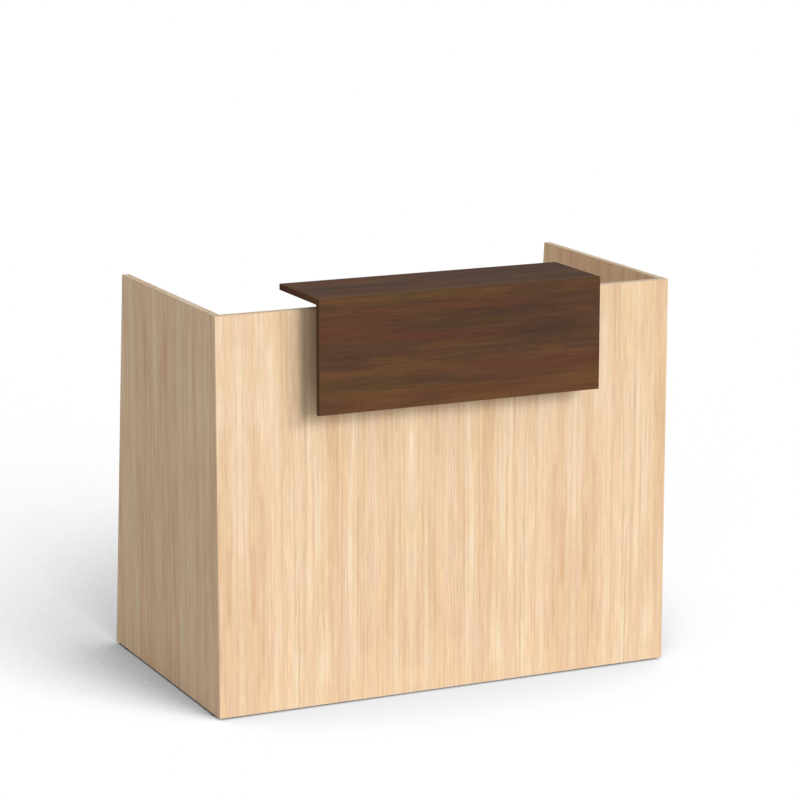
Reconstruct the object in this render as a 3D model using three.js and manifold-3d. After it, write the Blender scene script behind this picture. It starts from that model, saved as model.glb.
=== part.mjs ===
// Reception desk: a mitred oak shell that is open at the back, a worktop inside it, and a walnut counter
// shelf that stands off the front panel on bent steel brackets.
// Millimetres, +Z up. The origin is on the floor under the middle of the desk. Visitors stand at -Y.

import * as THREE from "three";
import { mergeVertices } from "three/addons/utils/BufferGeometryUtils.js";
import Module from "manifold-3d";

const wasm = await Module();
wasm.setup();

// Shell: the end panels are deeper at the floor than at the top
const deskWidth = 1400;
const deskHeight = 1140;
const depthAtFloor = 840;
const depthAtTop = 730;
const panelThickness = 22;
const floorGap = 8;
const easedCorner = 1.5;

// Edge bands on the boards
const bandThickness = 2;
const bandRounding = 1.25;
const glueLine = 0.3;

// Counter shelf: a slab with a drop panel mitred to its front edge
const counterWidth = 864;
const counterDepth = 273;
const counterHeight = 323;
const counterThickness = 18;
const counterStandOff = 66;
const counterLift = 22;
const counterEasedCorner = 1;

// Bent brackets that carry the counter, and spacers behind the drop panel
const bracketWidth = 40;
const bracketThickness = 5;
const bracketBend = 9;
const bracketRearLeg = 142;
const bracketFrontLeg = 182;
const bracketSpacing = 300;
const bracketHoleInset = 22;
const bracketHolePitch = 60;
const bracketWebHoles = [20, 48];
const spacerRadius = 12.5;
const spacerBore = 3.3;
const spacerChamfer = 1;
const spacerSpread = 600;
const spacerRise = 60;

// Worktop inside the shell
const worktopHeight = 740;
const worktopThickness = 25;
const worktopDepth = 700;
const worktopPlay = 1;

// Steel angles: rails under the worktop and short angles inside the mitred corners
const angleThickness = 3;
const angleBend = 5;
const railLeg = 30;
const endRailLength = 540;
const endRailSetback = 90;
const frontRailLength = 1200;
const railHoleInset = 40;
const cornerLeg = 40;
const cornerLength = 60;
const cornerHoleInset = 24;
const cornerHolePitch = 32;
const cornerHeights = { lower: 150, middle: 560, upper: 1000 };
const screwHoleRadius = 2.75;

// Cable grommets: a flanged sleeve in the worktop and a cap that turns in it
const grommetSpread = 920;
const grommetSetback = 95;
const grommetHole = 30;
const sleeveRadius = 29.9;
const sleeveDepth = 21;
const sleeveBore = 24.5;
const flangeRadius = 35;
const flangeHeight = 2;
const flangeChamfer = 0.8;
const capSeatRadius = 27;
const capSeatDepth = 1.6;
const capRadius = 26.7;
const capGap = 0.3;
const capRimOuter = 24.2;
const capRimInner = 22.2;
const capRimDepth = 7;
const capChamfer = 0.6;
const cableSlotHalfWidth = 10;
const cableSlotCentre = 16;

// Levelling feet, screwed into inserts in the end panels' bottom edges
const frontFootSetback = 62;
const rearFootSetback = 76;
const padRadius = 10.5;
const padChamfer = 0.8;
const padShoulder = 1.5;
const padClearance = 0.3;
const stemRadius = 4;
const stemLength = 24;
const stemChamfer = 0.8;
const insertBore = 4.1;
const insertRadius = 5.95;
const insertGroove = 0.6;
const insertLength = 22;
const insertRibs = 3;
const insertHoleRadius = 6;
const insertHoleDepth = 26;

// Facets of round stretches
const bendSteps = 3;
const slotSteps = 10;
const holeSides = 12;
const footSides = 20;
const grommetSides = 36;

// Places worked out from the dimensions
const frontFace = (counterStandOff + counterThickness - depthAtFloor) / 2;
const innerFace = frontFace + panelThickness;
const rearAtFloor = frontFace + depthAtFloor;
const rearAtTop = frontFace + depthAtTop;
const boardTop = deskHeight - bandThickness;
const endInner = deskWidth / 2 - panelThickness;
const endMiddle = deskWidth / 2 - panelThickness / 2;
const counterFront = frontFace - counterStandOff - counterThickness;
const dropBack = counterFront + counterThickness;
const counterRear = counterFront + counterDepth;
const counterUnderside = deskHeight + counterLift;
const counterTop = counterUnderside + counterThickness;
const dropBottom = counterTop - counterHeight;
const counterBoardEnd = counterWidth / 2 - bandThickness;
const worktopUnderside = worktopHeight - worktopThickness;
const worktopFront = innerFace + worktopPlay;
const worktopRear = worktopFront + worktopDepth;
const worktopHalf = endInner - worktopPlay;

const alongX = new THREE.Vector3(1, 0, 0);
const alongY = new THREE.Vector3(0, 1, 0);
const alongZ = new THREE.Vector3(0, 0, 1);
const againstX = alongX.clone().negate();
const againstY = alongY.clone().negate();
const againstZ = alongZ.clone().negate();

const sides = { left: -1, right: 1 };

// Materials
function finish(color, roughness, metalness) {
  return new THREE.MeshStandardMaterial({ color, roughness, metalness, flatShading: true });
}

const oak = finish(0xedcba5, 0.5, 0);
const oakBand = finish(0xe3c19b, 0.45, 0);
const walnut = finish(0x60432f, 0.45, 0);
const walnutBand = finish(0x573d2b, 0.45, 0);
const steel = finish(0xb4b6b8, 0.4, 0.9);
const blackPlastic = finish(0x1c1c1d, 0.55, 0);
const greyPlastic = finish(0x55585a, 0.5, 0);

// Cuts and joins on closed meshes
function solidOf(geometry) {
  const plain = geometry.clone();
  plain.deleteAttribute("normal");
  plain.deleteAttribute("uv");
  const merged = mergeVertices(plain);
  const index = merged.index.array;
  const triangles = [];
  for (let i = 0; i < index.length; i += 3) {
    const corners = [index[i], index[i + 1], index[i + 2]];
    if (new Set(corners).size === 3) triangles.push(...corners);
  }
  const mesh = new wasm.Mesh({
    numProp: 3,
    vertProperties: merged.attributes.position.array,
    triVerts: Uint32Array.from(triangles),
  });
  return new wasm.Manifold(mesh);
}

function geometryOf(solid) {
  const mesh = solid.getMesh();
  const geometry = new THREE.BufferGeometry();
  geometry.setAttribute("position", new THREE.BufferAttribute(mesh.vertProperties, 3));
  geometry.setIndex(new THREE.BufferAttribute(mesh.triVerts, 1));
  return geometry;
}

function common(first, ...others) {
  const shared = others.reduce((solid, other) => solid.intersect(solidOf(other)), solidOf(first));
  return geometryOf(shared);
}

function cut(first, cutters) {
  const rest = cutters.reduce((solid, cutter) => solid.subtract(solidOf(cutter)), solidOf(first));
  return geometryOf(rest);
}

// Basic forms
function at(x, y, z) {
  return new THREE.Vector3(x, y, z);
}

function polygon(points) {
  return new THREE.Shape(points.map(([a, b]) => new THREE.Vector2(a, b)));
}

// Sweeps a flat shape, drawn along two directions, for a length at right angles to both.
function swept(shape, origin, across, up, length, arcSteps = bendSteps) {
  const run = new THREE.Vector3().crossVectors(across, up);
  const options = { depth: length, bevelEnabled: false, curveSegments: arcSteps };
  const geometry = new THREE.ExtrudeGeometry(shape, options);
  return geometry.applyMatrix4(new THREE.Matrix4().makeBasis(across, up, run).setPosition(origin));
}

function planPrism(points, bottom, top) {
  return swept(polygon(points), at(0, 0, bottom), alongX, alongY, top - bottom);
}

function sectionPrism(points, start, end) {
  return swept(polygon(points), at(start, 0, 0), alongY, alongZ, end - start);
}

function turned(profile, facets) {
  const points = profile.map(([radius, height]) => new THREE.Vector2(radius, height));
  const upright = new THREE.Matrix4().makeBasis(alongX, alongZ, againstY);
  return new THREE.LatheGeometry(points, facets).applyMatrix4(upright);
}

function rod(radius, length, centre, axis, facets) {
  const geometry = new THREE.CylinderGeometry(radius, radius, length, facets);
  geometry.applyQuaternion(new THREE.Quaternion().setFromUnitVectors(alongY, axis));
  return geometry.translate(centre.x, centre.y, centre.z);
}

function screwHole(centre, axis, depth) {
  return rod(screwHoleRadius, depth, centre, axis, holeSides);
}

function place(group, name, geometry, material) {
  const mesh = new THREE.Mesh(geometry, material);
  mesh.name = name;
  group.add(mesh);
  return mesh;
}

// An edge band is a strip with rounded outer corners, centred on the middle of the edge that it covers.
function bandProfile(width) {
  const half = width / 2;
  const shape = new THREE.Shape();
  shape.moveTo(-half, 0);
  shape.lineTo(half, 0);
  shape.lineTo(half, bandThickness - bandRounding);
  shape.absarc(half - bandRounding, bandThickness - bandRounding, bandRounding, 0, Math.PI / 2, false);
  shape.lineTo(bandRounding - half, bandThickness);
  shape.absarc(bandRounding - half, bandThickness - bandRounding, bandRounding, Math.PI / 2, Math.PI, false);
  return shape;
}

function band(width, centre, across, outward, length) {
  const run = new THREE.Vector3().crossVectors(across, outward);
  const start = centre.clone().addScaledVector(run, -length / 2);
  return swept(bandProfile(width), start, across, outward, length);
}

// Shell: the front corners are mitred, with the sharp outer edge eased
function frontPlan() {
  const half = deskWidth / 2;
  const tip = half - easedCorner / 2;
  return [
    [easedCorner - half, frontFace],
    [half - easedCorner, frontFace],
    [tip, frontFace + easedCorner / 2],
    [endInner, innerFace],
    [-endInner, innerFace],
    [-tip, frontFace + easedCorner / 2],
  ];
}

function endPlan(side) {
  const outer = (side * deskWidth) / 2;
  return [
    [outer, frontFace + easedCorner],
    [outer - (side * easedCorner) / 2, frontFace + easedCorner / 2],
    [side * endInner, innerFace],
    [side * endInner, rearAtFloor],
    [outer, rearAtFloor],
  ];
}

const rearLean = Math.atan2(rearAtFloor - rearAtTop, deskHeight - floorGap);
const rearInset = (bandThickness + glueLine) / Math.cos(rearLean);

function endSection(top) {
  const rearAt = (height) => rearAtFloor - (height - floorGap) * Math.tan(rearLean) - rearInset;
  return [
    [frontFace, floorGap],
    [rearAt(floorGap), floorGap],
    [rearAt(top), top],
    [frontFace, top],
  ];
}

function footPlaces() {
  return { front: frontFace + frontFootSetback, rear: rearAtFloor - rearFootSetback };
}

function endPanel(side) {
  const outer = (side * deskWidth) / 2;
  const from = Math.min(outer, side * endInner);
  const board = sectionPrism(endSection(boardTop), from, from + panelThickness);
  const mitred = common(board, planPrism(endPlan(side), floorGap, boardTop));
  const sockets = Object.values(footPlaces()).map((y) => {
    const centre = at(side * endMiddle, y, floorGap);
    return rod(insertHoleRadius, 2 * insertHoleDepth, centre, alongZ, footSides);
  });
  return cut(mitred, sockets);
}

function endTopBand(side) {
  const centre = at(side * endMiddle, 0, boardTop);
  const strip = band(panelThickness, centre, alongX, alongZ, 2 * depthAtFloor);
  const from = side * endMiddle - panelThickness;
  const trim = sectionPrism(endSection(deskHeight), from, from + 2 * panelThickness);
  return common(strip, trim, planPrism(endPlan(side), floorGap, deskHeight));
}

function endRearBand(side) {
  const outward = at(0, Math.cos(rearLean), Math.sin(rearLean));
  const middle = at(side * endMiddle, (rearAtFloor + rearAtTop) / 2, (floorGap + deskHeight) / 2);
  const centre = middle.addScaledVector(outward, -bandThickness);
  const strip = band(panelThickness, centre, alongX, outward, deskHeight + depthAtFloor);
  const heights = [
    [frontFace, floorGap],
    [rearAtFloor + depthAtFloor, floorGap],
    [rearAtFloor + depthAtFloor, deskHeight],
    [frontFace, deskHeight],
  ];
  const from = side * endMiddle - panelThickness;
  return common(strip, sectionPrism(heights, from, from + 2 * panelThickness));
}

function buildShell() {
  const shell = new THREE.Group();
  place(shell, "front_panel", planPrism(frontPlan(), floorGap, boardTop), oak);
  const topEdge = at(0, (frontFace + innerFace) / 2, boardTop);
  const topStrip = band(panelThickness, topEdge, alongY, alongZ, deskWidth);
  const topBand = common(topStrip, planPrism(frontPlan(), floorGap, deskHeight));
  place(shell, "front_panel_top_band", topBand, oakBand);
  for (const [name, side] of Object.entries(sides)) {
    place(shell, `${name}_end_panel`, endPanel(side), oak);
    place(shell, `${name}_end_top_band`, endTopBand(side), oakBand);
    place(shell, `${name}_end_rear_band`, endRearBand(side), oakBand);
  }
  return shell;
}

// Counter shelf: slab and drop meet in a mitre along the front top edge
function slabSection() {
  return [
    [counterFront + counterEasedCorner, counterTop],
    [counterFront + counterEasedCorner / 2, counterTop - counterEasedCorner / 2],
    [dropBack, counterUnderside],
    [counterRear - bandThickness, counterUnderside],
    [counterRear - bandThickness, counterTop],
  ];
}

function dropSection() {
  return [
    [counterFront, counterTop - counterEasedCorner],
    [counterFront + counterEasedCorner / 2, counterTop - counterEasedCorner / 2],
    [dropBack, counterUnderside],
    [dropBack, dropBottom + bandThickness],
    [counterFront, dropBottom + bandThickness],
  ];
}

function buildCounter() {
  const counter = new THREE.Group();
  place(counter, "counter_top", sectionPrism(slabSection(), -counterBoardEnd, counterBoardEnd), walnut);
  place(counter, "counter_drop", sectionPrism(dropSection(), -counterBoardEnd, counterBoardEnd), walnut);
  const slabMiddle = (counterUnderside + counterTop) / 2;
  const dropMiddle = (counterFront + dropBack) / 2;
  for (const [name, side] of Object.entries(sides)) {
    const outward = side < 0 ? againstX : alongX;
    const slabEnd = at(side * counterBoardEnd, counterFront, slabMiddle);
    const slabStrip = band(counterThickness, slabEnd, alongZ, outward, 2 * counterDepth);
    const slabTrim = sectionPrism(slabSection(), -counterWidth, counterWidth);
    place(counter, `counter_top_${name}_band`, common(slabStrip, slabTrim), walnutBand);
    const dropEnd = at(side * counterBoardEnd, dropMiddle, counterTop);
    const dropStrip = band(counterThickness, dropEnd, alongY, outward, 2 * counterHeight);
    const dropTrim = sectionPrism(dropSection(), -counterWidth, counterWidth);
    place(counter, `counter_drop_${name}_band`, common(dropStrip, dropTrim), walnutBand);
  }
  const rearEdge = at(0, counterRear - bandThickness, slabMiddle);
  const rearStrip = band(counterThickness, rearEdge, alongZ, alongY, counterWidth);
  place(counter, "counter_top_rear_band", rearStrip, walnutBand);
  const bottomEdge = at(0, dropMiddle, dropBottom + bandThickness);
  const bottomStrip = band(counterThickness, bottomEdge, alongY, againstZ, counterWidth);
  place(counter, "counter_drop_bottom_band", bottomStrip, walnutBand);
  return counter;
}

// A counter bracket is a flat bar bent twice: it comes up the front panel's inner face, passes over the
// panel's top edge under the slab, and goes down the back of the drop panel.
function bracketSection() {
  const rear = innerFace + bracketThickness;
  const innerBend = bracketBend - bracketThickness;
  const bendHeight = counterUnderside - bracketBend;
  const shape = new THREE.Shape();
  shape.moveTo(dropBack, counterUnderside - bracketFrontLeg);
  shape.lineTo(dropBack + bracketThickness, counterUnderside - bracketFrontLeg);
  shape.lineTo(dropBack + bracketThickness, bendHeight);
  shape.absarc(dropBack + bracketBend, bendHeight, innerBend, Math.PI, Math.PI / 2, true);
  shape.lineTo(rear - bracketBend, counterUnderside - bracketThickness);
  shape.absarc(rear - bracketBend, bendHeight, innerBend, Math.PI / 2, 0, true);
  shape.lineTo(innerFace, counterUnderside - bracketRearLeg);
  shape.lineTo(rear, counterUnderside - bracketRearLeg);
  shape.lineTo(rear, bendHeight);
  shape.absarc(rear - bracketBend, bendHeight, bracketBend, 0, Math.PI / 2, false);
  shape.lineTo(dropBack + bracketBend, counterUnderside);
  shape.absarc(dropBack + bracketBend, bendHeight, bracketBend, Math.PI / 2, Math.PI, false);
  return shape;
}

function counterBracket() {
  const bar = swept(bracketSection(), at(-bracketWidth / 2, 0, 0), alongY, alongZ, bracketWidth);
  const depth = 3 * bracketThickness;
  const holes = [0, 1].flatMap((row) => {
    const rise = bracketHoleInset + row * bracketHolePitch;
    const frontHole = at(0, dropBack, counterUnderside - bracketFrontLeg + rise);
    const rearHole = at(0, innerFace, counterUnderside - bracketRearLeg + rise);
    const webHole = at(0, dropBack + bracketWebHoles[row], counterUnderside);
    return [
      screwHole(frontHole, alongY, depth),
      screwHole(rearHole, alongY, depth),
      screwHole(webHole, alongZ, depth),
    ];
  });
  return cut(bar, holes);
}

function counterSpacer() {
  const length = counterStandOff;
  return turned(
    [
      [spacerBore, 0],
      [spacerRadius - spacerChamfer, 0],
      [spacerRadius, spacerChamfer],
      [spacerRadius, length - spacerChamfer],
      [spacerRadius - spacerChamfer, length],
      [spacerBore, length],
      [spacerBore, 0],
    ],
    footSides,
  ).applyMatrix4(new THREE.Matrix4().makeBasis(alongX, againstZ, alongY));
}

function buildCounterSupports() {
  const supports = new THREE.Group();
  const bracketPlaces = { left: -bracketSpacing, middle: 0, right: bracketSpacing };
  for (const [name, x] of Object.entries(bracketPlaces)) {
    place(supports, `counter_bracket_${name}`, counterBracket(), steel).position.x = x;
  }
  for (const [name, side] of Object.entries(sides)) {
    const spacer = place(supports, `counter_spacer_${name}`, counterSpacer(), steel);
    spacer.position.set((side * spacerSpread) / 2, dropBack, dropBottom + spacerRise);
  }
  return supports;
}

// Steel angles: two equal legs with a bent corner
function angleSection(leg) {
  const innerBend = angleBend - angleThickness;
  const shape = new THREE.Shape();
  shape.moveTo(leg, 0);
  shape.lineTo(leg, angleThickness);
  shape.lineTo(angleBend, angleThickness);
  shape.absarc(angleBend, angleBend, innerBend, -Math.PI / 2, -Math.PI, true);
  shape.lineTo(angleThickness, leg);
  shape.lineTo(0, leg);
  shape.lineTo(0, angleBend);
  shape.absarc(angleBend, angleBend, angleBend, Math.PI, 1.5 * Math.PI, false);
  return shape;
}

function endRail(side) {
  const across = side < 0 ? alongX : againstZ;
  const up = side < 0 ? againstZ : againstX;
  const start = innerFace + endRailSetback;
  const origin = at(side * endInner, start, worktopUnderside);
  const bar = swept(angleSection(railLeg), origin, across, up, endRailLength);
  const depth = 3 * angleThickness;
  const stations = [railHoleInset, endRailLength / 2, endRailLength - railHoleInset];
  const holes = stations.flatMap((along) => [
    screwHole(at(side * endInner, start + along, worktopUnderside - railLeg / 2), alongX, depth),
    screwHole(at(side * (endInner - railLeg / 2), start + along, worktopUnderside), alongZ, depth),
  ]);
  return cut(bar, holes);
}

function frontRail() {
  const start = -frontRailLength / 2;
  const origin = at(start, innerFace, worktopUnderside);
  const bar = swept(angleSection(railLeg), origin, againstZ, alongY, frontRailLength);
  const depth = 3 * angleThickness;
  const pitch = (frontRailLength - 2 * railHoleInset) / 4;
  const stations = [0, 1, 2, 3, 4].map((step) => start + railHoleInset + step * pitch);
  const holes = stations.flatMap((x) => [
    screwHole(at(x, innerFace, worktopUnderside - railLeg / 2), alongY, depth),
    screwHole(at(x, innerFace + railLeg / 2, worktopUnderside), alongZ, depth),
  ]);
  return cut(bar, holes);
}

function cornerAngle(side, middle) {
  const across = side < 0 ? alongX : alongY;
  const up = side < 0 ? alongY : againstX;
  const origin = at(side * endInner, innerFace, middle - cornerLength / 2);
  const bar = swept(angleSection(cornerLeg), origin, across, up, cornerLength);
  const depth = 3 * angleThickness;
  const holes = [-0.5, 0.5].flatMap((step) => {
    const z = middle + step * cornerHolePitch;
    return [
      screwHole(at(side * (endInner - cornerHoleInset), innerFace, z), alongY, depth),
      screwHole(at(side * endInner, innerFace + cornerHoleInset, z), alongX, depth),
    ];
  });
  return cut(bar, holes);
}

function buildAngles() {
  const angles = new THREE.Group();
  place(angles, "worktop_rail_front", frontRail(), steel);
  for (const [name, side] of Object.entries(sides)) {
    place(angles, `worktop_rail_${name}`, endRail(side), steel);
    for (const [level, height] of Object.entries(cornerHeights)) {
      place(angles, `corner_angle_${name}_${level}`, cornerAngle(side, height), steel);
    }
  }
  return angles;
}

// Worktop with two cable grommets
function worktopBoard() {
  const rear = worktopRear - bandThickness;
  const board = planPrism(
    [
      [-worktopHalf, worktopFront],
      [worktopHalf, worktopFront],
      [worktopHalf, rear],
      [-worktopHalf, rear],
    ],
    worktopUnderside,
    worktopHeight,
  );
  const holes = Object.values(sides).map((side) => {
    const centre = at((side * grommetSpread) / 2, worktopFront + grommetSetback, worktopHeight);
    return rod(grommetHole, 4 * worktopThickness, centre, alongZ, grommetSides);
  });
  return cut(board, holes);
}

function grommetSleeve() {
  return turned(
    [
      [sleeveBore, -sleeveDepth],
      [sleeveRadius, -sleeveDepth],
      [sleeveRadius, 0],
      [flangeRadius, 0],
      [flangeRadius, flangeHeight - flangeChamfer],
      [flangeRadius - flangeChamfer, flangeHeight],
      [capSeatRadius, flangeHeight],
      [capSeatRadius, -capSeatDepth],
      [sleeveBore, -capSeatDepth],
      [sleeveBore, -sleeveDepth],
    ],
    grommetSides,
  );
}

function cableSlot() {
  const half = cableSlotHalfWidth;
  const shape = new THREE.Shape();
  shape.moveTo(half, -2 * capRadius);
  shape.lineTo(half, -cableSlotCentre);
  shape.absarc(0, -cableSlotCentre, half, 0, Math.PI, false);
  shape.lineTo(-half, -2 * capRadius);
  return swept(shape, at(0, 0, -2 * capRimDepth), alongX, alongY, 4 * capRimDepth, slotSteps);
}

function grommetCap() {
  const underside = capGap - capSeatDepth;
  const cap = turned(
    [
      [0, underside],
      [capRimInner, underside],
      [capRimInner, -capRimDepth],
      [capRimOuter, -capRimDepth],
      [capRimOuter, underside],
      [capRadius, underside],
      [capRadius, flangeHeight - capChamfer],
      [capRadius - capChamfer, flangeHeight],
      [0, flangeHeight],
    ],
    grommetSides,
  );
  return cut(cap, [cableSlot()]);
}

function buildWorktop() {
  const group = new THREE.Group();
  place(group, "worktop", worktopBoard(), oak);
  const rearEdge = at(0, worktopRear - bandThickness, (worktopUnderside + worktopHeight) / 2);
  const strip = band(worktopThickness, rearEdge, alongZ, alongY, 2 * worktopHalf);
  place(group, "worktop_rear_band", strip, oakBand);
  for (const [name, side] of Object.entries(sides)) {
    const grommet = new THREE.Group();
    grommet.position.set((side * grommetSpread) / 2, worktopFront + grommetSetback, worktopHeight);
    place(grommet, `grommet_sleeve_${name}`, grommetSleeve(), greyPlastic);
    place(grommet, `grommet_cap_${name}`, grommetCap(), greyPlastic);
    group.add(grommet);
  }
  return group;
}

// Levelling feet
function foot() {
  const padTop = floorGap - padClearance;
  const stemTop = floorGap + stemLength;
  return turned(
    [
      [0, 0],
      [padRadius - padChamfer, 0],
      [padRadius, padChamfer],
      [padRadius, padTop - padShoulder],
      [padRadius - padShoulder, padTop],
      [stemRadius, padTop],
      [stemRadius, stemTop - stemChamfer],
      [stemRadius - stemChamfer, stemTop],
      [0, stemTop],
    ],
    footSides,
  );
}

// The insert is a ribbed sleeve: each rib slopes in and steps out again, so that it grips the board.
function footInsert() {
  const pitch = insertLength / insertRibs;
  const ribs = Array.from({ length: insertRibs }, (_, rib) => [
    [insertRadius, floorGap + rib * pitch],
    [insertRadius - insertGroove, floorGap + (rib + 1) * pitch],
  ]).flat();
  const bottom = [insertBore, floorGap];
  const top = [insertBore, floorGap + insertLength];
  return turned([bottom, ...ribs, top, bottom], footSides);
}

function buildFeet() {
  const feet = new THREE.Group();
  for (const [sideName, side] of Object.entries(sides)) {
    for (const [row, y] of Object.entries(footPlaces())) {
      const name = `${row}_${sideName}`;
      place(feet, `foot_${name}`, foot(), blackPlastic).position.set(side * endMiddle, y, 0);
      place(feet, `foot_insert_${name}`, footInsert(), steel).position.set(side * endMiddle, y, 0);
    }
  }
  return feet;
}

const desk = new THREE.Group();
desk.add(buildShell(), buildCounter(), buildCounterSupports(), buildAngles(), buildWorktop(), buildFeet());

export default desk;
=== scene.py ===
"""Looks of the reception desk: finishes, screws, threaded feet, light and camera around the solid parts.

Metres, +Z up. The origin is on the floor under the middle of the desk, and visitors stand at -Y.
"""

import math

import bmesh
import bpy
from mathutils import Matrix, Vector


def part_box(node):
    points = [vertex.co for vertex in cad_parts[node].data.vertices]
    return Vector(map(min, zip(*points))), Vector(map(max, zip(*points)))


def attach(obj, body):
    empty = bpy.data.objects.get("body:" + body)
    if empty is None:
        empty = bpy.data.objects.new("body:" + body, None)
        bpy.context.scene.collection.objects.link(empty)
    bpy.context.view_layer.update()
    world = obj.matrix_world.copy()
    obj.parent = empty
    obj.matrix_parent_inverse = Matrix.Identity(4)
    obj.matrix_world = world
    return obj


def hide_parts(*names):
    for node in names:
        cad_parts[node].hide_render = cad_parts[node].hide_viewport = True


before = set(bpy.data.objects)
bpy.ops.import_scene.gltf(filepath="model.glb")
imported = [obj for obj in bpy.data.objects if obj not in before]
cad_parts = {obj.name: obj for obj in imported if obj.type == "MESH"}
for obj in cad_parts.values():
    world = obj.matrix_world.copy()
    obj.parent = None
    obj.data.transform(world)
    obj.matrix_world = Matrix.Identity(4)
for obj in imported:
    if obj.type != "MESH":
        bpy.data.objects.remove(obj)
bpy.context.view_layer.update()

# Camera: a lens in millimetres, at an eye point, turned right and tilted down by degrees
LENS = 139.65
EYE = (-3.7028, -8.0324, 2.673)
LOOK_RIGHT = 24.8955
LOOK_DOWN = 12.1213

# Light: soft suns to a visitor's right, each so many degrees right, up and wide, and light from all around
SOFT_SUNS = (
    {"right": 14, "up": 12, "spread": 16, "strength": 0.64},
    {"right": 16, "up": 25, "spread": 18, "strength": 0.69},
    {"right": 35, "up": 26, "spread": 18, "strength": 0.71},
)
AMBIENT = 0.55

# Floor: white where it is open, and greyer where the desk hides the sky or the bright side of the room
FLOOR_SIZE = 80
FLOOR_GREY = 190
FLOOR_ROUGHNESS = 0.9
FLOOR_GAIN = 1.218
SKY_REACH = 0.8
SKY_POWER = 1.5
SKY_SHARE = 0.481
BRIGHT_SIDE_REACH = 8.0
BRIGHT_SIDE_UP = -20
BRIGHT_SIDE_HIDDEN = 0.806
BRIGHT_SIDE_OPEN = 0.962
SHADE_SAMPLES = 24

# Noise: where most of its values lie, and where the high values lie that make patches
NOISE_LOW = 0.3
NOISE_HIGH = 0.7
PATCH_LOW = 0.50
PATCH_HIGH = 0.72

WHITE = (1.0, 1.0, 1.0, 1.0)


def colour(red, green, blue):
    """A colour given in the 0 to 255 steps of a screen, as the linear values that shaders use."""
    def linear(step):
        share = step / 255
        return share / 12.92 if share <= 0.04045 else ((share + 0.055) / 1.055) ** 2.4
    return linear(red), linear(green), linear(blue), 1.0


class Paint:
    """A material's node tree, with short calls for the nodes that the finishes share."""

    def __init__(self, name):
        self.material = bpy.data.materials.new(name)
        self.material.use_nodes = True
        self.tree = self.material.node_tree
        self.shader = self.tree.nodes["Principled BSDF"]

    def feed(self, socket, value):
        if isinstance(value, bpy.types.NodeSocket):
            self.tree.links.new(value, socket)
        else:
            socket.default_value = value

    def add(self, kind, inputs, **settings):
        node = self.tree.nodes.new(kind)
        for key, value in settings.items():
            setattr(node, key, value)
        for socket, value in inputs.items():
            self.feed(node.inputs[socket], value)
        return node

    def math(self, operation, *values):
        return self.add("ShaderNodeMath", dict(enumerate(values)), operation=operation).outputs[0]

    def place(self):
        return self.add("ShaderNodeTexCoord", {}).outputs["Object"]

    def axes(self):
        split = self.add("ShaderNodeSeparateXYZ", {0: self.place()})
        return {"X": split.outputs[0], "Y": split.outputs[1], "Z": split.outputs[2]}

    def join(self, first, second, third):
        return self.add("ShaderNodeCombineXYZ", {0: first, 1: second, 2: third}).outputs[0]

    def noise(self, place, size, detail=2.0, roughness=0.5):
        """Noise from about 0 to 1, with features of that size in metres along the three directions."""
        shrink = tuple(1 / length for length in size)
        scaled = self.add("ShaderNodeVectorMath", {0: place, 1: shrink}, operation="MULTIPLY").outputs[0]
        inputs = {"Vector": scaled, "Scale": 1.0, "Detail": detail, "Roughness": roughness}
        return self.add("ShaderNodeTexNoise", inputs).outputs["Fac"]

    def spread(self, value, low, high, to_low=0.0, to_high=1.0, kind="LINEAR"):
        inputs = {0: value, 1: low, 2: high, 3: to_low, 4: to_high}
        return self.add("ShaderNodeMapRange", inputs, interpolation_type=kind).outputs[0]

    def vary(self, noise, to_low, to_high):
        """Noise turned into amounts from to_low to to_high."""
        return self.spread(noise, NOISE_LOW, NOISE_HIGH, to_low, to_high)

    def lift(self, level, noise, low, high):
        """The level, with amounts from low to high added by the noise."""
        return self.math("ADD", level, self.vary(noise, low, high))

    def sway(self, noise, reach):
        """Noise turned into a shift of up to about that reach to either side."""
        return self.math("MULTIPLY_ADD", noise, 2 * reach, -reach)

    def ramp(self, value, stops, blend="LINEAR"):
        node = self.add("ShaderNodeValToRGB", {0: value})
        node.color_ramp.interpolation = blend
        elements = node.color_ramp.elements
        while len(elements) < len(stops):
            elements.new(0.5)
        for element, (position, tone) in zip(elements, stops):
            element.position = position
            element.color = tone
        return node.outputs[0]

    def shades(self, noise, dark, pale):
        """Tones from dark to pale, as the noise goes."""
        return self.ramp(noise, [(NOISE_LOW, dark), (NOISE_HIGH, pale)])

    def mix(self, share, first, second, blend="MIX"):
        node = self.add("ShaderNodeMix", {}, data_type="RGBA", blend_type=blend)
        self.feed(node.inputs[0], share)
        self.feed(node.inputs[6], first)
        self.feed(node.inputs[7], second)
        return node.outputs[2]

    def patch(self, tone, noise, other, most, low=PATCH_LOW, high=PATCH_HIGH):
        """The tone, mixed with another by at most that share where the noise is high."""
        return self.mix(self.spread(noise, low, high, 0.0, most), tone, other)

    def streak(self, tone, noise, depth):
        """The tone, darker or paler by up to those shares of its red, green and blue."""
        dark = (*(1 - share for share in depth), 1.0)
        pale = (*(1 + share for share in depth), 1.0)
        return self.mix(1.0, tone, self.shades(noise, dark, pale), "MULTIPLY")

    def bump(self, height, depth):
        inputs = {"Height": height, "Distance": depth, "Strength": 1.0}
        self.feed(self.shader.inputs["Normal"], self.add("ShaderNodeBump", inputs).outputs[0])

    def finish(self, tone, roughness, specular=0.5, metallic=0.0):
        self.feed(self.shader.inputs["Base Color"], tone)
        self.feed(self.shader.inputs["Roughness"], roughness)
        self.feed(self.shader.inputs["Specular IOR Level"], specular)
        self.feed(self.shader.inputs["Metallic"], metallic)
        return self.material


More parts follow.
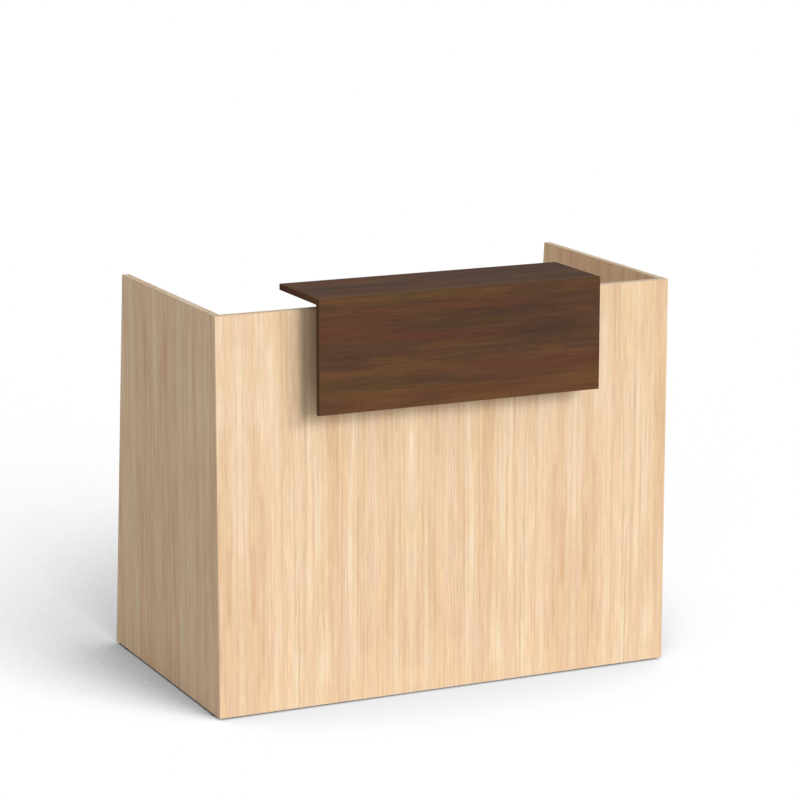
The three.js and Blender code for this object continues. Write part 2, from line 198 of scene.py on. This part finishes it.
# Oak veneer: leaves laid as mirror images, with pale bands at these distances from a leaf's edge
LEAF_WIDTH = 0.517
FRONT_LEAF_START = -0.115
END_LEAF_START = 0.09
WORKTOP_LEAF_START = -0.05
BAND_LEAF_START = 0.2
PALE_BANDS = (0.000, 0.178, 0.281, 0.352, 0.411, 0.508)
PALE_HALF_WIDTH = 0.026
PALE_LIFT = 0.16
OAK_SWAY = 0.006
CURL_PLACE = 0.352
CURL_HALF_WIDTH = 0.050
CURL_SWAY = 0.007

# Oak grain: the size of each kind of mark across the grain, along it and into the board
OAK_SIZES = {
    "wander": (0.12, 0.45, 0.03),
    "curl": (0.040, 0.13, 0.03),
    "stripes": (0.060, 3.0, 0.5),
    "patches": (0.060, 0.36, 0.05),
    "dashes": (0.016, 0.26, 0.05),
    "blush": (0.034, 0.80, 0.05),
    "straw": (0.030, 0.30, 0.05),
    "threads": (0.005, 1.2, 0.02),
    "flecks": (0.006, 0.07, 0.02),
    "veins": (0.009, 0.9, 0.02),
    "fibre": (0.0009, 0.12, 0.004),
    "pores": (0.0005, 0.010, 0.002),
}
OAK_TONES = (
    (0.00, colour(222, 180, 142)),
    (0.33, colour(237, 206, 170)),
    (0.70, colour(248, 230, 200)),
)
OAK_BLUSH = colour(236, 202, 174)
OAK_STRAW = colour(243, 212, 168)
OAK_VEIN = colour(203, 168, 134)
OAK_FIBRE = colour(214, 178, 141)
OAK_FIBRE_SHARE = 0.20
OAK_PORE = colour(184, 146, 110)
OAK_PORE_SHARE = 0.30
# Edge bands: the oak times this, partly a greyer band colour and partly painted shade on the desk's tops
BAND_GREY_AND_SHADE = (0.85, 0.93, 1.0, 1.0)

# Sheen of both woods: roughness from the grain's hollows to its ridges, and how deep the grain is
OAK_ROUGHNESS = (0.66, 0.56)
OAK_SPECULAR = 0.12
WALNUT_ROUGHNESS = (0.68, 0.56)
WALNUT_SPECULAR = 0.02
GRAIN_LOW = 0.2
GRAIN_HIGH = 0.8
GRAIN_DEPTH = 0.00006


def pale_stops():
    """Where a leaf is pale, as ramp stops across its width."""
    stops = []
    for middle in PALE_BANDS:
        for offset, level in ((-PALE_HALF_WIDTH, 0.0), (0.0, 1.0), (PALE_HALF_WIDTH, 0.0)):
            if 0 <= middle + offset <= LEAF_WIDTH:
                stops.append(((middle + offset) / LEAF_WIDTH, (level, level, level, 1.0)))
    return stops


def oak(name, across, along, leaf_start, grey_and_shade=WHITE):
    """Oak whose grain runs along one axis, with leaves side by side across it."""
    paint = Paint(name)
    axes = paint.axes()
    (through,) = set("XYZ") - {across, along}
    leaf = paint.math("PINGPONG", paint.math("SUBTRACT", axes[across], leaf_start), LEAF_WIDTH)
    board = paint.join(leaf, axes[along], axes[through])

    wander = paint.noise(board, OAK_SIZES["wander"])
    swayed = paint.math("ADD", leaf, paint.sway(wander, OAK_SWAY))
    off_curl = paint.math("ABSOLUTE", paint.math("SUBTRACT", swayed, CURL_PLACE))
    curl = paint.sway(paint.noise(board, OAK_SIZES["curl"]), CURL_SWAY)
    curl = paint.math("MULTIPLY", curl, paint.spread(off_curl, CURL_HALF_WIDTH, 0.0))
    side = paint.math("ADD", swayed, curl)
    grain = paint.join(side, axes[along], axes[through])

    def marks(kind, detail=2.0, roughness=0.5):
        return paint.noise(grain, OAK_SIZES[kind], detail, roughness)

    pale = paint.ramp(paint.math("DIVIDE", side, LEAF_WIDTH), pale_stops(), "EASE")
    light = paint.math("MULTIPLY", pale, PALE_LIFT)
    light = paint.lift(light, marks("stripes", roughness=0.6), low=0.0, high=0.38)
    light = paint.lift(light, marks("patches", detail=1), low=0.0, high=0.14)
    light = paint.lift(light, marks("dashes", detail=1), low=-0.13, high=0.13)
    tone = paint.ramp(light, OAK_TONES)
    tone = paint.patch(tone, marks("blush"), OAK_BLUSH, most=0.75)
    tone = paint.patch(tone, marks("straw"), OAK_STRAW, most=0.70)
    tone = paint.streak(tone, marks("threads", roughness=0.6), depth=(0.085, 0.100, 0.125))
    tone = paint.streak(tone, marks("flecks", roughness=0.6), depth=(0.060, 0.072, 0.088))
    tone = paint.patch(tone, marks("veins", detail=0), OAK_VEIN, most=0.42, low=0.62, high=0.76)

    fibre = marks("fibre", roughness=0.6)
    tone = paint.mix(paint.vary(fibre, OAK_FIBRE_SHARE, 0.0), tone, OAK_FIBRE)
    pits = paint.spread(marks("pores", detail=1), low=0.62, high=0.72)
    tone = paint.mix(paint.math("MULTIPLY", pits, OAK_PORE_SHARE), tone, OAK_PORE)
    # On the edge bands the tone turns greyer and darker, the darker part a painted shade
    tone = paint.mix(1.0, tone, grey_and_shade, "MULTIPLY")

    paint.bump(paint.math("SUBTRACT", fibre, pits), GRAIN_DEPTH)
    roughness = paint.spread(fibre, GRAIN_LOW, GRAIN_HIGH, *OAK_ROUGHNESS)
    return paint.finish(tone, roughness, OAK_SPECULAR)


# Walnut veneer: how red it is at distances from the mitre, from the foot of the drop to the slab's rear
# Over the slab the stops are lower: partly the veneer's own pattern, partly painted shade that darkens the
# top
WALNUT_FIGURE_AND_SHADE = (
    (-0.31, 0.72), (-0.26, 0.58), (-0.20, 0.50), (-0.15, 0.50), (-0.10, 0.30),
    (-0.05, 0.44), (-0.015, 0.56), (0.02, 0.42), (0.06, 0.32), (0.27, 0.22),
)
FIGURE_START = WALNUT_FIGURE_AND_SHADE[0][0]
FIGURE_END = WALNUT_FIGURE_AND_SHADE[-1][0]
PLAIN_FIGURE = 0.5
WALNUT_SWAY = 0.008

# Walnut grain: the size of each kind of mark across the grain, along it and into the board
WALNUT_SIZES = {
    "wander": (0.12, 0.70, 5.0),
    "stripes": (0.045, 2.6, 5.0),
    "patches": (0.050, 0.26, 5.0),
    "olive": (0.045, 0.5, 5.0),
    "rust": (0.060, 0.7, 5.0),
    "lines": (0.0045, 0.13, 5.0),
    "pores": (0.0006, 0.014, 5.0),
}
WALNUT_TONES = (
    (0.15, colour(74, 55, 45)),
    (0.50, colour(91, 64, 47)),
    (0.85, colour(109, 75, 48)),
)
WALNUT_OLIVE = colour(90, 70, 44)
WALNUT_RUST = colour(100, 62, 46)
WALNUT_PORE = colour(44, 30, 22)
WALNUT_PORE_SHARE = 0.45


def figure_and_shade_stops():
    """The walnut's redness along its whole reach, with painted shade over the slab, as ramp stops."""
    length = FIGURE_END - FIGURE_START
    return [((place - FIGURE_START) / length, (red, red, red, 1.0)) for place, red in WALNUT_FIGURE_AND_SHADE]


def walnut(name, along, across, mitre=None):
    """Walnut whose grain runs along one axis.

    Across the grain there is one axis, or two that meet at a mitre. Their sum then runs from the foot of
    the drop up to the mitre, and on over the slab to its rear.
    """
    paint = Paint(name)
    axes = paint.axes()
    if mitre is None:
        (other,) = set("XYZ") - {along, across}
        side = axes[across]
        through = axes[other]
        redness = PLAIN_FIGURE
    else:
        first, second = (axes[axis] for axis in across)
        side = paint.math("ADD", first, second)
        through = paint.math("SUBTRACT", first, second)
        # Redness along the drop and over the slab, lowered over the slab as painted shade on the top
        reach = paint.spread(side, mitre + FIGURE_START, mitre + FIGURE_END)
        redness = paint.ramp(reach, figure_and_shade_stops(), "EASE")
    board = paint.join(side, axes[along], through)
    wander = paint.noise(board, WALNUT_SIZES["wander"], detail=1)
    grain = paint.join(paint.math("ADD", side, paint.sway(wander, WALNUT_SWAY)), axes[along], through)

    def marks(kind, detail=2.0, roughness=0.5):
        return paint.noise(grain, WALNUT_SIZES[kind], detail, roughness)

    red = paint.lift(redness, marks("stripes", roughness=0.6), low=-0.20, high=0.20)
    red = paint.lift(red, marks("patches", roughness=0.6), low=-0.20, high=0.20)
    tone = paint.ramp(red, WALNUT_TONES)
    tone = paint.patch(tone, marks("olive"), WALNUT_OLIVE, most=0.60)
    tone = paint.patch(tone, marks("rust"), WALNUT_RUST, most=0.75)

    lines = marks("lines", detail=3, roughness=0.65)
    tone = paint.streak(tone, lines, depth=(0.13, 0.15, 0.18))
    pits = paint.spread(marks("pores", detail=1), low=0.60, high=0.72)
    tone = paint.mix(paint.math("MULTIPLY", pits, WALNUT_PORE_SHARE), tone, WALNUT_PORE)

    paint.bump(paint.math("SUBTRACT", lines, pits), GRAIN_DEPTH)
    roughness = paint.spread(lines, GRAIN_LOW, GRAIN_HIGH, *WALNUT_ROUGHNESS)
    return paint.finish(tone, roughness, WALNUT_SPECULAR)


# Zinc plated steel and moulded plastics
ZINC_DARK = colour(176, 178, 180)
ZINC_PALE = colour(202, 204, 205)
ZINC_CLOUD = (0.03, 0.03, 0.03)
ZINC_SCRATCH = (0.0006, 0.0006, 0.012)
ZINC_SCRATCH_DEPTH = 0.00002
ZINC_ROUGHNESS = (0.46, 0.34)
BLACK_SHADES = (colour(26, 26, 27), colour(32, 32, 33))
GREY_SHADES = (colour(84, 87, 89), colour(92, 95, 97))
PLASTIC_CLOUD = (0.02, 0.02, 0.02)
PLASTIC_TEXTURE = (0.0005, 0.0005, 0.0005)
PLASTIC_TEXTURE_DEPTH = 0.00004
PLASTIC_ROUGHNESS = (0.45, 0.60)


def steel(name):
    paint = Paint(name)
    place = paint.place()
    cloud = paint.noise(place, ZINC_CLOUD, detail=4, roughness=0.6)
    paint.bump(paint.noise(place, ZINC_SCRATCH), ZINC_SCRATCH_DEPTH)
    roughness = paint.vary(cloud, *ZINC_ROUGHNESS)
    return paint.finish(paint.shades(cloud, ZINC_DARK, ZINC_PALE), roughness, metallic=1.0)


def plastic(name, dark, pale):
    paint = Paint(name)
    place = paint.place()
    cloud = paint.noise(place, PLASTIC_CLOUD, detail=3)
    texture = paint.noise(place, PLASTIC_TEXTURE)
    paint.bump(texture, PLASTIC_TEXTURE_DEPTH)
    return paint.finish(paint.shades(cloud, dark, pale), paint.vary(texture, *PLASTIC_ROUGHNESS))


# Finishes on the solid parts, with facets that meet within this many degrees shaded as one round face
FACET_LIMIT = 40
FACET_WELD = 1e-5


def facet_joiner():
    """The nodes of a modifier that joins a solid's facets, and shades them round within the limit."""
    group = bpy.data.node_groups.new("joined_facets", "GeometryNodeTree")
    for way in ("INPUT", "OUTPUT"):
        group.interface.new_socket("Geometry", in_out=way, socket_type="NodeSocketGeometry")
    start = group.nodes.new("NodeGroupInput")
    weld = group.nodes.new("GeometryNodeMergeByDistance")
    weld.inputs["Distance"].default_value = FACET_WELD
    angle = group.nodes.new("GeometryNodeInputMeshEdgeAngle")
    sharp = group.nodes.new("FunctionNodeCompare")
    sharp.inputs["B"].default_value = math.radians(FACET_LIMIT)
    shading = group.nodes.new("GeometryNodeSetMeshNormal")
    shading.inputs["Remove Custom"].default_value = True
    end = group.nodes.new("NodeGroupOutput")
    group.links.new(start.outputs[0], weld.inputs["Geometry"])
    group.links.new(angle.outputs["Unsigned Angle"], sharp.inputs["A"])
    group.links.new(weld.outputs[0], shading.inputs["Mesh"])
    group.links.new(sharp.outputs[0], shading.inputs["Edge Sharpness"])
    group.links.new(shading.outputs[0], end.inputs[0])
    return group


def dress(names, material, joiner):
    for name in names:
        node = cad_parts[name]
        node.material_slots[0].material = material
        node.modifiers.new("joined_facets", "NODES").node_group = joiner


def dress_oak(joiner):
    dress(["front_panel"], oak("oak_front", "X", "Z", FRONT_LEAF_START), joiner)
    dress(["left_end_panel", "right_end_panel"], oak("oak_ends", "Y", "Z", END_LEAF_START), joiner)
    dress(["worktop"], oak("oak_worktop", "Y", "X", WORKTOP_LEAF_START), joiner)
    bands = {
        ("Y", "X"): ["front_panel_top_band", "worktop_rear_band"],
        ("X", "Y"): ["left_end_top_band", "right_end_top_band"],
        ("X", "Z"): ["left_end_rear_band", "right_end_rear_band"],
    }
    for (across, along), names in bands.items():
        dress(names, oak(f"oak_band_{along.lower()}", across, along, BAND_LEAF_START, BAND_GREY_AND_SHADE), joiner)


def dress_walnut(joiner):
    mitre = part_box("counter_drop")[0].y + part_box("counter_top")[1].z
    long_pieces = ["counter_top", "counter_drop", "counter_top_rear_band", "counter_drop_bottom_band"]
    dress(long_pieces, walnut("walnut", "X", "YZ", mitre), joiner)
    dress(["counter_top_left_band", "counter_top_right_band"], walnut("walnut_band_y", "Y", "Z"), joiner)
    dress(["counter_drop_left_band", "counter_drop_right_band"], walnut("walnut_band_z", "Z", "Y"), joiner)


def dress_frame(metal, black):
    joiner = facet_joiner()
    dress_oak(joiner)
    dress_walnut(joiner)
    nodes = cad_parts
    fittings = ("counter_bracket", "counter_spacer", "corner_angle", "worktop_rail", "foot_insert")
    dress([name for name in nodes if name.startswith(fittings)], metal, joiner)
    feet = [name for name in nodes if name.startswith("foot_") and not name.startswith("foot_insert")]
    dress(feet, black, joiner)
    grey = plastic("grey_plastic", *GREY_SHADES)
    dress([name for name in nodes if name.startswith("grommet")], grey, joiner)


# Turned pieces: rings from bottom to top, each a height and how far it reaches at an angle
RING_SIDES = 32
ROUND_LIMIT = 35


def circle(radius):
    return lambda angle: radius


def off_middle(angle, sides):
    """How far an angle is from the middle of the side it points at, on an outline with so many sides."""
    side = 2 * math.pi / sides
    return (angle + side / 2) % side - side / 2


def cross(arm):
    """The outline of a cross recess, with arms that are two ring steps wide at their ends."""
    half_slot = arm * math.tan(2 * math.pi / RING_SIDES)

    def reach(angle):
        off = abs(off_middle(angle, 4))
        end = arm / math.cos(off)
        return min(end, half_slot / math.sin(off)) if off else end
    return reach


def hexagon(half_width):
    """The outline of a hexagon socket."""
    return lambda angle: half_width / math.cos(off_middle(angle, 6))


def thread(core, crest, pitch, height):
    """The outline of a screw thread at a height: it climbs from core to crest and back once a turn."""
    def reach(angle):
        phase = (height / pitch - angle / (2 * math.pi)) % 1
        return core + (crest - core) * (1 - abs(2 * phase - 1))
    return reach


def fluted(radius, depth, count):
    """A round outline with shallow finger flutes."""
    return lambda angle: radius - depth * (0.5 + 0.5 * math.cos(count * angle))


def turned(name, rings):
    """A closed mesh through the rings."""
    mesh = bmesh.new()
    angles = [2 * math.pi * step / RING_SIDES for step in range(RING_SIDES)]
    loops = []
    for height, reach in rings:
        points = [(reach(a) * math.cos(a), reach(a) * math.sin(a), height) for a in angles]
        loops.append([mesh.verts.new(point) for point in points])
    for low, high in zip(loops, loops[1:]):
        for step in range(RING_SIDES):
            after = (step + 1) % RING_SIDES
            mesh.faces.new((low[step], low[after], high[after], high[step]))
    mesh.faces.new(reversed(loops[0]))
    mesh.faces.new(loops[-1])
    data = bpy.data.meshes.new(name)
    mesh.to_mesh(data)
    mesh.free()
    return data


def rounded(radius, height, corner, steps=4):
    """Rings that round the upper edge of a disc of that radius, ending at that height."""
    rings = []
    for step in range(steps + 1):
        turn = math.pi / 2 * step / steps
        reach = radius - corner + corner * math.cos(turn)
        rings.append((height - corner + corner * math.sin(turn), circle(reach)))
    return rings


def threaded(low, high, core, crest, pitch, steps=6):
    """Rings of a threaded rod from a low to a high height."""
    count = round((high - low) / pitch * steps)
    heights = [low + (high - low) * step / count for step in range(count + 1)]
    return [(height, thread(core, crest, pitch, height)) for height in heights]


def settle(name, mesh, material, body):
    """Makes a piece of the mesh, with round stretches shaded round, that moves with a body."""
    mesh.shade_smooth()
    mesh.set_sharp_from_angle(angle=math.radians(ROUND_LIMIT))
    mesh.materials.append(material)
    piece = bpy.data.objects.new(name, mesh)
    bpy.context.scene.collection.objects.link(piece)
    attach(piece, body)
    return piece


# Screws through the steel fittings
GOLDEN_TURN = math.radians(137.5)
RIGHT, BACK, DOWN = Vector((1, 0, 0)), Vector((0, 1, 0)), Vector((0, 0, -1))


def wood_screw():
    """A pan-head wood screw with a cross recess. Its head sits on height 0."""
    point, point_radius, point_end = -0.0165, 0.0003, -0.0150
    thread_low, thread_high = -0.0148, -0.0032
    core, crest, pitch = 0.0015, 0.0023, 0.0016
    neck_low, neck_radius = -0.0030, 0.0019
    head_radius, head_height, head_corner = 0.0042, 0.0023, 0.0015
    recess_arm, floor_arm, floor_height = 0.0021, 0.0012, 0.0010
    tip = [(point, circle(point_radius)), (point_end, circle(core))]
    shank = threaded(thread_low, thread_high, core, crest, pitch)
    neck = [(neck_low, circle(neck_radius)), (0.0, circle(neck_radius))]
    head = [(0.0, circle(head_radius)), *rounded(head_radius, head_height, head_corner)]
    recess = [(head_height, cross(recess_arm)), (floor_height, cross(floor_arm))]
    return turned("wood_screw", tip + shank + neck + head + recess)


def panel_bolt():
    """A button-head bolt on a washer, with a hexagon socket. The washer sits on height 0."""
    end, end_radius = -0.0260, 0.0026
    chamfer_top, radius = -0.0252, 0.0030
    washer_foot, washer_radius = 0.0078, 0.0080
    washer_height, washer_corner = 0.0012, 0.0003
    head_radius, head_height, head_corner = 0.0052, 0.0044, 0.0024
    socket, floor_socket, floor_height = 0.0020, 0.0018, 0.0020
    shank = [(end, circle(end_radius)), (chamfer_top, circle(radius)), (0.0, circle(radius))]
    washer = [(0.0, circle(washer_foot)), *rounded(washer_radius, washer_height, washer_corner)]
    head = [(washer_height, circle(head_radius)), *rounded(head_radius, head_height, head_corner)]
    recess = [(head_height, hexagon(socket)), (floor_height, hexagon(floor_socket))]
    return turned("panel_bolt", shank + washer + head + recess)


def scatter(name, template, places):
    """One mesh with a copy of the template at each place, its axis along the facing direction there."""
    mesh = bmesh.new()
    for index, (place, facing) in enumerate(places):
        copy = template.copy()
        spin = Matrix.Rotation(index * GOLDEN_TURN, 4, "Z")
        aim = facing.to_track_quat("Z", "Y").to_matrix().to_4x4()
        copy.transform(Matrix.Translation(place) @ aim @ spin)
        mesh.from_mesh(copy)
        bpy.data.meshes.remove(copy)
    data = bpy.data.meshes.new(name)
    mesh.to_mesh(data)
    mesh.free()
    return data


def bracket_places():
    thickness, inset, pitch, rear_leg = 0.005, 0.022, 0.060, 0.142
    web_holes = (0.020, 0.048)
    places = []
    for side in ("left", "middle", "right"):
        low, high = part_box(f"counter_bracket_{side}")
        x = (low.x + high.x) / 2
        for row in (0, 1):
            rise = inset + row * pitch
            places.append((Vector((x, low.y + thickness, low.z + rise)), BACK))
            places.append((Vector((x, high.y, high.z - rear_leg + rise)), BACK))
            places.append((Vector((x, low.y + web_holes[row], high.z - thickness)), DOWN))
    return places


def corner_places():
    thickness, inset, half_pitch = 0.003, 0.024, 0.016
    places = []
    for side, inward in (("left", RIGHT), ("right", -RIGHT)):
        for level in ("lower", "middle", "upper"):
            low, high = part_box(f"corner_angle_{side}_{level}")
            corner = low.x if side == "left" else high.x
            for shift in (-half_pitch, half_pitch):
                z = (low.z + high.z) / 2 + shift
                places.append((Vector((corner + inset * inward.x, low.y + thickness, z)), BACK))
                places.append((Vector((corner + thickness * inward.x, low.y + inset, z)), inward))
    return places


def evenly(low, high, inset, count):
    """So many places from low to high, with the outer ones inset from the ends."""
    return [low + inset + (high - low - 2 * inset) * step / (count - 1) for step in range(count)]


def rail_places():
    thickness, half_leg, inset = 0.003, 0.015, 0.040
    front_screws, side_screws = 5, 3
    places = []
    low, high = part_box("worktop_rail_front")
    for x in evenly(low.x, high.x, inset, front_screws):
        places.append((Vector((x, low.y + thickness, high.z - half_leg)), BACK))
        places.append((Vector((x, low.y + half_leg, high.z - thickness)), DOWN))
    for side, inward in (("left", RIGHT), ("right", -RIGHT)):
        low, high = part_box(f"worktop_rail_{side}")
        corner = low.x if side == "left" else high.x
        for y in evenly(low.y, high.y, inset, side_screws):
            places.append((Vector((corner + thickness * inward.x, y, high.z - half_leg)), inward))
            places.append((Vector((corner + half_leg * inward.x, y, high.z - thickness)), DOWN))
    return places


def spacer_places():
    panel_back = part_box("front_panel")[1].y
    middles = [sum(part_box(f"counter_spacer_{side}"), Vector()) / 2 for side in ("left", "right")]
    return [(Vector((middle.x, panel_back, middle.z)), BACK) for middle in middles]


def make_screws(metal):
    screw = wood_screw()
    groups = {
        "counter_bracket_screws": (screw, bracket_places()),
        "corner_angle_screws": (screw, corner_places()),
        "worktop_rail_screws": (screw, rail_places()),
        "counter_spacer_bolts": (panel_bolt(), spacer_places()),
    }
    for name, (template, places) in groups.items():
        settle(name, scatter(name, template, places), metal, "desk")


# Levelling feet: a moulded pad with finger flutes on a threaded steel stud
PAD_GAP = 0.0003
PAD_CORNER = 0.0012
FLUTE_COUNT = 16
FLUTE_DEPTH = 0.0006
GRIP_HEIGHTS = (0.0010, 0.0052)
STUD_CORE = 0.0033
STUD_CREST = 0.0039
STUD_PITCH = 0.00125
STUD_CHAMFER = 0.0008
STUD_SINK = 0.001

# The pad's rounded foot: heights, and how far in from the pad's full radius
FOOT_EDGE = ((0.0, 0.0010), (0.0004, 0.0003))


def make_foot(node, insert, body, metal, black):
    """A foot that stands for its solid, with its pad just under the insert that its stud screws into."""
    low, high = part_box(node)
    insert_low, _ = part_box(insert)
    radius = (high.x - low.x) / 2
    pad_top = insert_low.z - PAD_GAP
    middle = Matrix.Translation(((low.x + high.x) / 2, (low.y + high.y) / 2, 0))

    edge = [(height, circle(radius - inset)) for height, inset in FOOT_EDGE]
    grip = [(height, fluted(radius, FLUTE_DEPTH, FLUTE_COUNT)) for height in GRIP_HEIGHTS]
    top = rounded(radius - FLUTE_DEPTH, pad_top, PAD_CORNER)
    pad = turned(f"{body}_pad", edge + grip + top)
    pad.transform(middle)
    pad_piece = settle(f"{body}_pad", pad, black, body)
    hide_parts(node)

    rod = threaded(pad_top - STUD_SINK, high.z - STUD_CHAMFER, STUD_CORE, STUD_CREST, STUD_PITCH)
    stud = turned(f"{body}_stud", rod + [(high.z, circle(STUD_CORE - STUD_CHAMFER))])
    stud.transform(middle)
    settle(f"{body}_stud", stud, metal, body)


def make_feet(metal, black):
    for side in ("left", "right"):
        for row in ("front", "rear"):
            make_foot(f"foot_{row}_{side}", f"foot_insert_{row}_{side}", f"{row}_{side}_foot", metal, black)


# The room: floor, light and camera
def direction(right, up):
    """The way from the desk to a point in front of it, so many degrees to a visitor's right and up."""
    right, up = math.radians(right), math.radians(up)
    return Vector((math.sin(right) * math.cos(up), -math.cos(right) * math.cos(up), math.sin(up)))


def seen_rays(tree):
    """1 for rays that show a surface to the eye: straight, in a mirror or through glass."""
    path = tree.nodes.new("ShaderNodeLightPath")
    total = path.outputs["Is Camera Ray"]
    for kind in ("Is Glossy Ray", "Is Transmission Ray"):
        either = tree.nodes.new("ShaderNodeMath")
        either.operation = "MAXIMUM"
        tree.links.new(total, either.inputs[0])
        tree.links.new(path.outputs[kind], either.inputs[1])
        total = either.outputs[0]
    return total


def floor_paint():
    """Grey to the light that it throws back, and white with a soft shade to the eye."""
    paint = Paint("floor")
    paint.finish(colour(FLOOR_GREY, FLOOR_GREY, FLOOR_GREY), FLOOR_ROUGHNESS)

    def open_share(facing, reach):
        inputs = {"Distance": reach, "Normal": paint.join(*facing)}
        return paint.add("ShaderNodeAmbientOcclusion", inputs, samples=SHADE_SAMPLES).outputs["AO"]

    sky = paint.math("POWER", open_share((0, 0, 1), SKY_REACH), SKY_POWER)
    sky = paint.math("MULTIPLY", sky, SKY_SHARE)
    side = open_share(direction(0, BRIGHT_SIDE_UP), BRIGHT_SIDE_REACH)
    side = paint.spread(side, BRIGHT_SIDE_HIDDEN, BRIGHT_SIDE_OPEN, 0, 1 - SKY_SHARE, "SMOOTHSTEP")
    level = paint.math("MULTIPLY", paint.math("ADD", sky, side), FLOOR_GAIN)
    white = paint.add("ShaderNodeEmission", {"Strength": paint.math("MINIMUM", level, 1.0)})
    choice = paint.add("ShaderNodeMixShader", {0: seen_rays(paint.tree), 1: paint.shader.outputs[0]})
    paint.feed(choice.inputs[2], white.outputs[0])
    paint.feed(paint.tree.nodes["Material Output"].inputs[0], choice.outputs[0])
    return paint.material


def make_floor():
    half = FLOOR_SIZE / 2
    mesh = bpy.data.meshes.new("floor")
    corners = [(-half, -half, 0), (half, -half, 0), (half, half, 0), (-half, half, 0)]
    mesh.from_pydata(corners, [], [(0, 1, 2, 3)])
    mesh.materials.append(floor_paint())
    floor = bpy.data.objects.new("floor", mesh)
    bpy.context.scene.collection.objects.link(floor)


def make_world():
    """An even light on the desk, and plain white where the eye meets no surface."""
    world = bpy.data.worlds.new("studio")
    world.use_nodes = True
    tree = world.node_tree
    lit = tree.nodes["Background"]
    lit.inputs["Color"].default_value = WHITE
    lit.inputs["Strength"].default_value = AMBIENT
    white = tree.nodes.new("ShaderNodeBackground")
    white.inputs["Color"].default_value = WHITE
    choice = tree.nodes.new("ShaderNodeMixShader")
    tree.links.new(seen_rays(tree), choice.inputs[0])
    tree.links.new(lit.outputs[0], choice.inputs[1])
    tree.links.new(white.outputs[0], choice.inputs[2])
    tree.links.new(choice.outputs[0], tree.nodes["World Output"].inputs[0])
    bpy.context.scene.world = world


def make_suns():
    for index, soft in enumerate(SOFT_SUNS):
        lamp = bpy.data.lights.new(f"soft_sun_{index}", "SUN")
        lamp.energy = soft["strength"]
        lamp.angle = math.radians(soft["spread"])
        sun = bpy.data.objects.new(lamp.name, lamp)
        sun.rotation_euler = direction(soft["right"], soft["up"]).to_track_quat("Z", "Y").to_euler()
        bpy.context.scene.collection.objects.link(sun)


def make_camera():
    data = bpy.data.cameras.new("camera")
    data.lens = LENS
    camera = bpy.data.objects.new("camera", data)
    camera.location = EYE
    camera.rotation_euler = (math.radians(90 - LOOK_DOWN), 0, -math.radians(LOOK_RIGHT))
    bpy.context.scene.collection.objects.link(camera)
    bpy.context.scene.camera = camera


make_camera()
make_world()
make_suns()
make_floor()
zinc = steel("zinc_steel")
black_plastic = plastic("black_plastic", *BLACK_SHADES)
dress_frame(zinc, black_plastic)
make_screws(zinc)
make_feet(zinc, black_plastic)
bpy.context.scene.view_settings.view_transform = "Standard"
